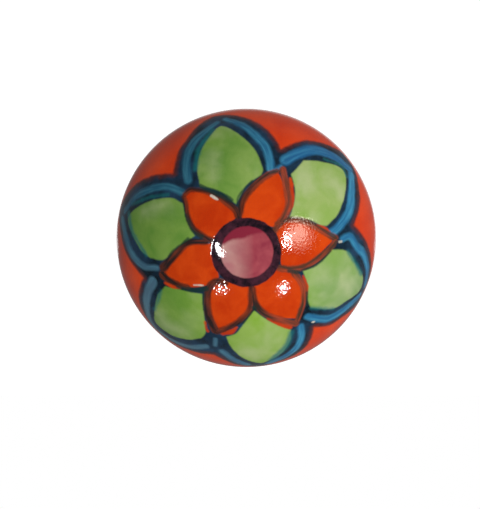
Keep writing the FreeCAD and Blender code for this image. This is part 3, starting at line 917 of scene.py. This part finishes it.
def head_section():
    """Half section of the head, from the top of the crown to the top of the socket."""
    meet = math.atan2(HOLLOW_RHO - UNDERSIDE_RHO, NECK_RISE - WIDEST_RISE) + 4 * QUARTER_TURN
    hollow_start = meet - math.pi
    hollow_end = -math.acos(-(math.sqrt(NECK_HOLLOW_RADIUS ** 2 - (HOLLOW_RHO - FOOT_RADIUS) ** 2))
                            / NECK_HOLLOW_RADIUS)
    points = arc_points(0, CAP_RISE, CAP_RADIUS, 0, CAP_ANGLE, CROWN_STEP)
    points += arc_points(SHOULDER_RHO, WIDEST_RISE, SHOULDER_RADIUS, CAP_ANGLE, QUARTER_TURN, CROWN_STEP)
    points += arc_points(UNDERSIDE_RHO, WIDEST_RISE, UNDERSIDE_RADIUS, QUARTER_TURN, meet, BACK_STEP)
    points += arc_points(HOLLOW_RHO, NECK_RISE, NECK_HOLLOW_RADIUS, hollow_start, hollow_end, BACK_STEP / 3)
    points += line_points(points[-1], (FOOT_RADIUS, FOOT_RISE + FOOT_EDGE), BACK_STEP / 3)
    points += arc_points(FOOT_RADIUS - FOOT_EDGE, FOOT_RISE + FOOT_EDGE, FOOT_EDGE,
                         QUARTER_TURN, 2 * QUARTER_TURN, FOOT_EDGE / 4)
    for corner, step in (((SOCKET_RADIUS, FOOT_RISE), BACK_STEP),
                         ((SOCKET_RADIUS, SOCKET_TOP), 3 * BACK_STEP),
                         ((0, SOCKET_TOP), 3 * BACK_STEP)):
        points += line_points(points[-1], corner, step)
    return points


# %% [markdown]
# Paint on the head
#
# After turning, the depth of every point of the crown inside each layer of paint is stored on it, where the
# material reads it. Thick layers are raised by a few hundredths of a millimetre. The raised paint fades out
# before the widest place, so the head keeps its size.

# %% Layers of paint
STROKES = {"teal": TEAL, "pale": PALE_AND_SHEEN, "spill": SPILL, "dark": DARK, "chips_and_glint": CHIPS_AND_GLINT, "crescent": CRESCENT,
           "blue": BLUE, "brown": BROWN}
STREAKED = ("blue", "brown")
FAR_OUTSIDE = -5.0


def paint_layers(spots):
    """Depth of the spots inside every layer, and their places across and along the streaked strokes."""
    depths = {
        "flower": field_depth(spots, (OUTLINE,)),
        "green": field_depth(spots, GREEN),
        "orange": field_depth(spots, ORANGE),
        "ring": disc_depth(spots, RING_CENTRE, RING_RADIUS),
        "disc": disc_depth(spots, DISC_CENTRE, DISC_RADIUS),
    }
    bristle_places = {}
    for name, strokes in STROKES.items():
        depths[name], across, along = stroke_places(spots, strokes)
        if name in STREAKED:
            bristle_places[name + " across"] = across
            bristle_places[name + " along"] = along
    return {name: np.maximum(depth, FAR_OUTSIDE) for name, depth in depths.items()}, bristle_places


def store_layers(mesh, crown, layers, elsewhere):
    """Store values on the points of a mesh: given on the crown, and the same everywhere else."""
    for name, values in layers.items():
        whole = np.full(len(crown), elsewhere, np.float32)
        whole[crown] = values
        mesh.attributes.new(name, "FLOAT", "POINT").data.foreach_set("value", whole)


# %% Thickness of the paint
CROWN_MARGIN = 0.5 * MM
PAINT_END_SHARE = 0.985
THICKNESS = (("flower", 0.03, 0.5), ("green", 0.02, 0.5), ("blue", 0.03, 0.5), ("orange", 0.006, 0.8),
             ("bead", 0.005, 0.6))


def ramp(depth, width):
    """Eased share from 0 at a layer's edge to 1 at that depth inside it."""
    share = np.clip(depth / width, 0, 1)
    return share * (2 - share)


def outward(places):
    """Direction away from the head at points of its crown."""
    rho = np.hypot(places[:, 0], places[:, 2])
    on_cap = rho < CAP_EDGE_RHO
    inner_share = np.where(on_cap, 0, SHOULDER_RHO) / np.maximum(rho, MM)
    centre_rise = np.where(on_cap, CAP_RISE, WIDEST_RISE)
    out = np.stack([places[:, 0] * (1 - inner_share), places[:, 1] + centre_rise,
                    places[:, 2] * (1 - inner_share)], axis=1)
    return out / np.linalg.norm(out, axis=1)[:, None]


def paint_head(mesh):
    """Store the layers of paint on the crown, and lift its points by the thickness of the paint on them."""
    places = np.empty(len(mesh.vertices) * 3)
    mesh.vertices.foreach_get("co", places)
    places = places.reshape(-1, 3)
    crown = places[:, 1] < -WIDEST_RISE + CROWN_MARGIN
    depths, bristle_places = paint_layers(places[crown] / MM)
    store_layers(mesh, crown, depths, FAR_OUTSIDE)
    store_layers(mesh, crown, bristle_places, 0.0)
    depths["bead"] = np.minimum(depths["ring"], -depths["disc"])
    lift = sum(height * ramp(depths[name], width) for name, height, width in THICKNESS) * MM
    rho = np.hypot(places[crown, 0], places[crown, 2])
    lift *= np.clip((PAINT_END_SHARE * HEAD_RADIUS - rho) / MM, 0, 1)
    places[crown] += outward(places[crown]) * lift[:, None]
    mesh.vertices.foreach_set("co", places.ravel())
    mesh.update()
    print("paint stored on", int(crown.sum()), "points, up to", round(lift.max() / MM, 3), "mm high")


# %% The glazed head
HEAD_SEGMENTS = 440

glazed_head = turned_piece("glazed_head", head_section(), HEAD_SEGMENTS, GLAZED_PAINTING)
paint_head(glazed_head.data)
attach(glazed_head, "root")
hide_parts("ceramic_head", *[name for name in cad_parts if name.startswith("enamel_")])

# %% [markdown]
# Bare metal
#
# The bolt is zinc plated and the plate nickel plated. Both are thin bright coats on steel, so both are full
# metals with a light brushing. The plate was spun in a lathe chuck and shows fine rings, the bolt is duller
# and a little blue. One group gives the worn, cloudy sheen that any handled metal has.

# %% Group for handled metal
WEAR_SCALE = 300.0


def handled_metal_group():
    group, given, out = new_group("handled metal", "ShaderNodeTree", (
        ("Bright", "NodeSocketColor", (0.7, 0.7, 0.7, 1)),
        ("Dull", "NodeSocketColor", (0.5, 0.5, 0.5, 1)),
        ("Low Roughness", "NodeSocketFloat", 0.2),
        ("High Roughness", "NodeSocketFloat", 0.4),
    ), (("Color", "NodeSocketColor"), ("Roughness", "NodeSocketFloat")))
    share = map_range(group, noise(group, object_place(group), WEAR_SCALE, 5.0), 0.35, 0.65)
    colour = mixed(group, "RGBA", given.outputs["Bright"], given.outputs["Dull"], share)
    rough = mixed(group, "FLOAT", given.outputs["Low Roughness"], given.outputs["High Roughness"], share)
    fill(group, out.inputs["Color"], colour)
    fill(group, out.inputs["Roughness"], rough)
    return group


HANDLED_METAL = handled_metal_group()


# %% Plated steel
TURNING_MARKS = 9000.0


def plated_steel(name, bright, dull, low, high, ring_height):
    """Plated steel with turning marks round the axis."""
    material, tree, shader = plain_material(name)
    sheen = node(tree, "ShaderNodeGroup", {
        "Bright": (*bright, 1), "Dull": (*dull, 1), "Low Roughness": low, "High Roughness": high},
        node_tree=HANDLED_METAL)
    fill(tree, shader.inputs["Base Color"], sheen.outputs["Color"])
    fill(tree, shader.inputs["Roughness"], sheen.outputs["Roughness"])
    shader.inputs["Metallic"].default_value = 1.0
    place = object_place(tree)
    flat = node(tree, "ShaderNodeVectorMath", {0: place, 1: (1, 0, 1)}, operation="MULTIPLY")
    from_axis = node(tree, "ShaderNodeVectorMath", {0: flat.outputs[0]}, operation="LENGTH")
    along = node(tree, "ShaderNodeSeparateXYZ", {0: place})
    way = node(tree, "ShaderNodeCombineXYZ", {0: from_axis.outputs["Value"], 1: along.outputs["Y"]})
    bump = node(tree, "ShaderNodeBump", {
        "Strength": 1.0, "Distance": ring_height * MM,
        "Height": noise(tree, way.outputs[0], TURNING_MARKS, 2.0)})
    fill(tree, shader.inputs["Normal"], bump.outputs[0])
    return material


ZINC_PLATE = plated_steel("zinc plate", (0.6, 0.62, 0.65), (0.45, 0.46, 0.48), 0.28, 0.45, 0.0015)
NICKEL_PLATE = plated_steel("nickel plate", (0.72, 0.7, 0.66), (0.62, 0.6, 0.56), 0.14, 0.26, 0.003)

# %% [markdown]
# Base plate
#
# A disc of sheet steel is drawn to a shallow cup, so that the ceramic foot stands in it and doesn't touch the
# door. It is one section carried round the axis again: floor, bend, leaning wall and rolled lip, back to the
# start at the edge of the bolt hole.

# %% Base plate
PLATE_SEGMENTS = 160
PLATE_SHEET = 0.7 * MM
PLATE_HOLE = 2.25 * MM
PLATE_LEAN = 0.5 * MM
PLATE_LIP_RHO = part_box("base_plate")[1].x - PLATE_SHEET / 2
PLATE_LIP_RISE = -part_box("base_plate")[0].y - PLATE_SHEET / 2
PLATE_BEND_RHO = PLATE_LIP_RHO - PLATE_SHEET / 2 - PLATE_LEAN
FLOOR_STEP = 1.2 * MM
WALL_STEP = 0.8 * MM
BEND_STEP = 0.15 * MM
LIP_STEP = 0.12 * MM


def plate_section():
    """Closed section of the base plate."""
    points = line_points((PLATE_HOLE, 0), (PLATE_BEND_RHO, 0), FLOOR_STEP)
    points += arc_points(PLATE_BEND_RHO, PLATE_SHEET, PLATE_SHEET, 2 * QUARTER_TURN, QUARTER_TURN, BEND_STEP)
    points += arc_points(PLATE_LIP_RHO, PLATE_LIP_RISE, PLATE_SHEET / 2,
                         QUARTER_TURN, -QUARTER_TURN, LIP_STEP)
    points += line_points(points[-1], (PLATE_BEND_RHO, PLATE_SHEET), WALL_STEP)
    points += line_points(points[-1], (PLATE_HOLE, PLATE_SHEET), FLOOR_STEP)
    points += line_points(points[-1], (PLATE_HOLE, 0), PLATE_SHEET)
    return points


pressed_plate = turned_piece("pressed_plate", plate_section(), PLATE_SEGMENTS, NICKEL_PLATE)
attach(pressed_plate, "root")
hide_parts("base_plate")

# %% [markdown]
# Threaded bolt
#
# A thread is a groove that climbs by one pitch in each turn. The tree lays a grid round the axis and gives
# each point a radius from its place along the bolt minus its share of a turn. A ping-pong of that number is
# the triangle wave of the thread, and cutting off its top and bottom gives the flats of an ISO thread.

# %% Sizes of the bolt
THREAD_RADIUS = 2.0 * MM
THREAD_PITCH = 0.7 * MM
THREAD_DEPTH_SHARE = 0.6134
PITCH_LINE_SHARE = 0.325
BOLT_HEAD_HEIGHT = 2.8 * MM
BOLT_SIZES = {
    "Rows": 640,
    "Segments": 28,
    "Shank Length": -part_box("bolt")[0].y - BOLT_HEAD_HEIGHT,
    "Reach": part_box("bolt")[1].y,
    "Radius": THREAD_RADIUS,
    "Shank Radius": THREAD_RADIUS - PITCH_LINE_SHARE * THREAD_PITCH,
    "Pitch": THREAD_PITCH,
    "Depth": THREAD_DEPTH_SHARE * THREAD_PITCH,
    "Point Length": 0.5 * MM,
    "Head Flats": 7.0 * MM,
    "Head Height": BOLT_HEAD_HEIGHT,
}
THREAD_TOP_SHARE = 0.125
THREAD_BOTTOM_SHARE = 0.75


# %% Radius along a threaded rod
def thread_radius(tree, size, turn, along):
    """Radius of the rod at a share of a turn and a place along it: shank, thread, then the point."""
    climb = math_node(tree, "SUBTRACT", math_node(tree, "DIVIDE", along, size["Pitch"]), turn)
    wave = product(tree, math_node(tree, "PINGPONG", climb, 0.5), 2)
    groove = map_range(tree, wave, THREAD_TOP_SHARE, THREAD_BOTTOM_SHARE)
    thread = math_node(tree, "SUBTRACT", size["Radius"], product(tree, groove, size["Depth"]))
    left = math_node(tree, "SUBTRACT", size["Reach"], along)
    point = math_node(tree, "ADD", left, math_node(tree, "SUBTRACT", size["Radius"], size["Point Length"]))
    thread = math_node(tree, "MINIMUM", thread, point)
    begun = math_node(tree, "DIVIDE", along, size["Point Length"], clamp=True)
    return mixed(tree, "FLOAT", size["Shank Radius"], thread, begun)


# %% Tree for a threaded rod with a hexagon head
def threaded_bolt_tree():
    sockets = [(name, "NodeSocketInt" if isinstance(value, int) else "NodeSocketFloat", value)
               for name, value in BOLT_SIZES.items()]
    tree, given, out = new_group("threaded bolt", "GeometryNodeTree", (
        ("Geometry", "NodeSocketGeometry", None), *sockets, ("Material", "NodeSocketMaterial", None),
    ), (("Geometry", "NodeSocketGeometry"),))
    size = given.outputs
    grid, column, row = round_grid(tree, size["Rows"], size["Segments"])
    turn = math_node(tree, "DIVIDE", column, size["Segments"])
    share = math_node(tree, "DIVIDE", math_node(tree, "SUBTRACT", row, 1),
                      math_node(tree, "SUBTRACT", size["Rows"], 3), clamp=True)
    start = product(tree, size["Shank Length"], -1)
    whole = math_node(tree, "ADD", size["Shank Length"], size["Reach"])
    along = math_node(tree, "MULTIPLY_ADD", share, whole, start)
    after_first = math_node(tree, "GREATER_THAN", row, 0.5)
    before_last = math_node(tree, "LESS_THAN", row, math_node(tree, "SUBTRACT", size["Rows"], 1.5))
    closed = product(tree, thread_radius(tree, size, turn, along), product(tree, after_first, before_last))
    angle = product(tree, turn, math.tau)
    place = node(tree, "ShaderNodeCombineXYZ", {
        0: product(tree, closed, math_node(tree, "COSINE", angle)), 1: along,
        2: product(tree, closed, math_node(tree, "SINE", angle))})
    rod = closed_surface(tree, grid, place.outputs[0])
    corner = math_node(tree, "DIVIDE", size["Head Flats"], 2 * math.cos(math.pi / 6))
    head = node(tree, "GeometryNodeMeshCylinder", {
        "Vertices": 6, "Radius": corner, "Depth": size["Head Height"]})
    middle = math_node(tree, "SUBTRACT", start, product(tree, size["Head Height"], 0.5))
    set_back = node(tree, "ShaderNodeCombineXYZ", {1: middle})
    placed = node(tree, "GeometryNodeTransform", {
        "Geometry": head.outputs["Mesh"], "Translation": set_back.outputs[0],
        "Rotation": (QUARTER_TURN, 0, 0)})
    joined = node(tree, "GeometryNodeJoinGeometry", {0: placed.outputs[0]})
    fill(tree, joined.inputs[0], rod)
    finish_tree(tree, given, out, joined.outputs[0])
    return tree


# %% Threaded bolt
threaded_bolt = made_by_tree("threaded_bolt", threaded_bolt_tree(), {**BOLT_SIZES, "Material": ZINC_PLATE})
face_outwards(threaded_bolt)
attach(threaded_bolt, "root")
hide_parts("bolt")

# %% [markdown]
# Cement
#
# Set cement is pale, dusty and pitted. Its CAD mesh is already the right shape, so only its material is new:
# cloudy grey-white with a coarse grain in colour and bump.

# %% Cement
CEMENT_GRAIN = 2500.0
CEMENT_PITS = 0.06 * MM
CEMENT_ROUGHNESS = 0.9


def set_cement():
    material, tree, shader = plain_material("set cement")
    colour = uneven(tree, (0.58, 0.56, 0.52), (0.42, 0.4, 0.36), 300.0, 1.2)
    fill(tree, shader.inputs["Base Color"], colour)
    shader.inputs["Roughness"].default_value = CEMENT_ROUGHNESS
    bump = node(tree, "ShaderNodeBump", {
        "Strength": 1.0, "Distance": CEMENT_PITS,
        "Height": noise(tree, object_place(tree), CEMENT_GRAIN, 5.0)})
    fill(tree, shader.inputs["Normal"], bump.outputs[0])
    return material


SET_CEMENT = set_cement()
for material_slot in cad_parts["cement"].material_slots:
    material_slot.material = SET_CEMENT

# %% [markdown]
# Lamps
#
# The sharp lights on the glaze come from four small lamps in front, two at each side. Two wide warm lamps at
# the right lay the soft glow on the right petal. Together with the soft light of the room they light the
# colours at a plain level.

# %% Lamps
KNOB_MIDDLE = Vector((0, -WIDEST_RISE, 0))
LAMP_DISTANCE = 0.9
WHITE = (1.0, 1.0, 1.0)
WARM = (1.0, 0.9, 0.75)


def upright_lamp(name, direction, width, height, strength, lean=0.0, colour=WHITE):
    """Lamp that looks at the knob. A white card there would shine at its strength; 1 is plain white."""
    data = bpy.data.lights.new(name, "AREA")
    data.shape = "ELLIPSE"
    data.color = colour
    data.size = width
    data.size_y = height
    data.energy = strength * math.pi ** 2 * LAMP_DISTANCE ** 2
    lamp = new_object(name, data)
    away = Vector(direction).normalized()
    lamp.location = KNOB_MIDDLE + away * LAMP_DISTANCE
    facing = away.to_track_quat("Z", "Y").to_matrix() @ Matrix.Rotation(math.radians(lean), 3, "Z")
    lamp.rotation_euler = facing.to_euler()
    lamp.visible_camera = False


upright_lamp("lamp left above", (-0.33, -0.93, -0.13), 0.05, 0.17, 0.16, 25.0)
upright_lamp("lamp left below", (-0.29, -0.77, -0.605), 0.035, 0.045, 0.12)
upright_lamp("lamp right above", (0.49, -0.87, -0.02), 0.06, 0.17, 0.24)
upright_lamp("lamp right below", (0.425, -0.69, -0.575), 0.06, 0.08, 0.13)
upright_lamp("soft lamp right", (0.62, -0.765, 0.06), 0.22, 0.22, 0.1, colour=WARM)
upright_lamp("wide lamp right", (0.635, -0.765, 0.04), 0.38, 0.38, 0.1, colour=WARM)


# %% [markdown]
# World and floor
#
# The eye sees a white sweep of paper behind the knob, and so do glossy surfaces that look backwards. The room
# in front of the knob is dim to them, which keeps the dark colours dark under the glaze. The soft light on
# the knob comes mostly from the front and the right, and some from high up at the right.

# %% Light of the room
LIGHT_BASE = 0.25
LIGHT_LEAST = 0.11
LIGHT_FRONT = 0.36
LIGHT_RIGHT = 0.28
CORNER_START = 0.3
CORNER_LIGHT = 0.42


def glossy_room(tree, parts):
    """What glossy surfaces see: a dim room in front, and the paper behind, bright above the floor."""
    room = map_range(tree, parts["Y"], -0.2, 0.3, 0.04, 0.22)
    paper = map_range(tree, parts["Y"], 0.9, 1.0, 0.0, 0.8)
    paper = product(tree, paper, map_range(tree, parts["X"], -0.5, 0.3, 0.1, 1.0))
    paper = product(tree, paper, map_range(tree, parts["Z"], -0.35, -0.1, 0.15, 1.0))
    return math_node(tree, "ADD", room, paper)


def soft_light(tree, parts):
    """What lights the colours: soft light from the front and the right, and a brighter upper corner."""
    soft = math_node(tree, "MULTIPLY_ADD", parts["Y"], -LIGHT_FRONT, LIGHT_BASE)
    soft = math_node(tree, "MULTIPLY_ADD", parts["X"], LIGHT_RIGHT, soft)
    corner = math_node(tree, "SUBTRACT", math_node(tree, "ADD", parts["X"], parts["Z"]), CORNER_START)
    corner = product(tree, math_node(tree, "MAXIMUM", corner, 0.0), CORNER_LIGHT)
    return math_node(tree, "ADD", math_node(tree, "MAXIMUM", soft, LIGHT_LEAST), corner)


def studio_world():
    world = bpy.data.worlds.new("studio")
    world.use_nodes = True
    tree = world.node_tree
    tree.nodes.clear()
    way = node(tree, "ShaderNodeTexCoord").outputs["Generated"]
    parts = node(tree, "ShaderNodeSeparateXYZ", {0: way}).outputs
    rays = node(tree, "ShaderNodeLightPath").outputs
    plain = mixed(tree, "FLOAT", soft_light(tree, parts), glossy_room(tree, parts), rays["Is Glossy Ray"])
    seen = math_node(tree, "ADD", rays["Is Camera Ray"], rays["Is Transmission Ray"], clamp=True)
    level = mixed(tree, "FLOAT", plain, 1.0, seen)
    back = node(tree, "ShaderNodeBackground", {"Color": (1, 1, 1, 1), "Strength": level})
    node(tree, "ShaderNodeOutputWorld", {"Surface": back.outputs[0]})
    bpy.context.scene.world = world


studio_world()

# %% Floor
FLOOR_DROP = 0.12
FLOOR_START = 0.6
FLOOR_REACH = 5.0
FLOOR_HALF_WIDTH = 0.4
FLOOR_GLOW = 0.7
FLOOR_GREY = (0.85, 0.85, 0.85, 1)


def pale_floor():
    """White sweep behind the knob: lit like the knob, with a glow that only the eye and glossy things see."""
    material = bpy.data.materials.new("pale floor")
    material.use_nodes = True
    tree = material.node_tree
    tree.nodes.clear()
    rays = node(tree, "ShaderNodeLightPath").outputs
    seen = math_node(tree, "ADD", rays["Is Camera Ray"], rays["Is Glossy Ray"], clamp=True)
    lit = node(tree, "ShaderNodeBsdfDiffuse", {"Color": FLOOR_GREY})
    glow = node(tree, "ShaderNodeEmission", {"Strength": product(tree, seen, FLOOR_GLOW)})
    both = node(tree, "ShaderNodeAddShader", {0: lit.outputs[0], 1: glow.outputs[0]})
    node(tree, "ShaderNodeOutputMaterial", {"Surface": both.outputs[0]})
    mesh = bpy.data.meshes.new("floor")
    corners = [(x * FLOOR_HALF_WIDTH, y, -FLOOR_DROP)
               for x, y in ((-1, FLOOR_START), (1, FLOOR_START), (1, FLOOR_REACH), (-1, FLOOR_REACH))]
    mesh.from_pydata(corners, [], [(0, 1, 2, 3)])
    mesh.materials.append(material)
    return new_object("floor", mesh)


pale_floor()

# %% Finish
bpy.context.scene.view_settings.view_transform = "Standard"
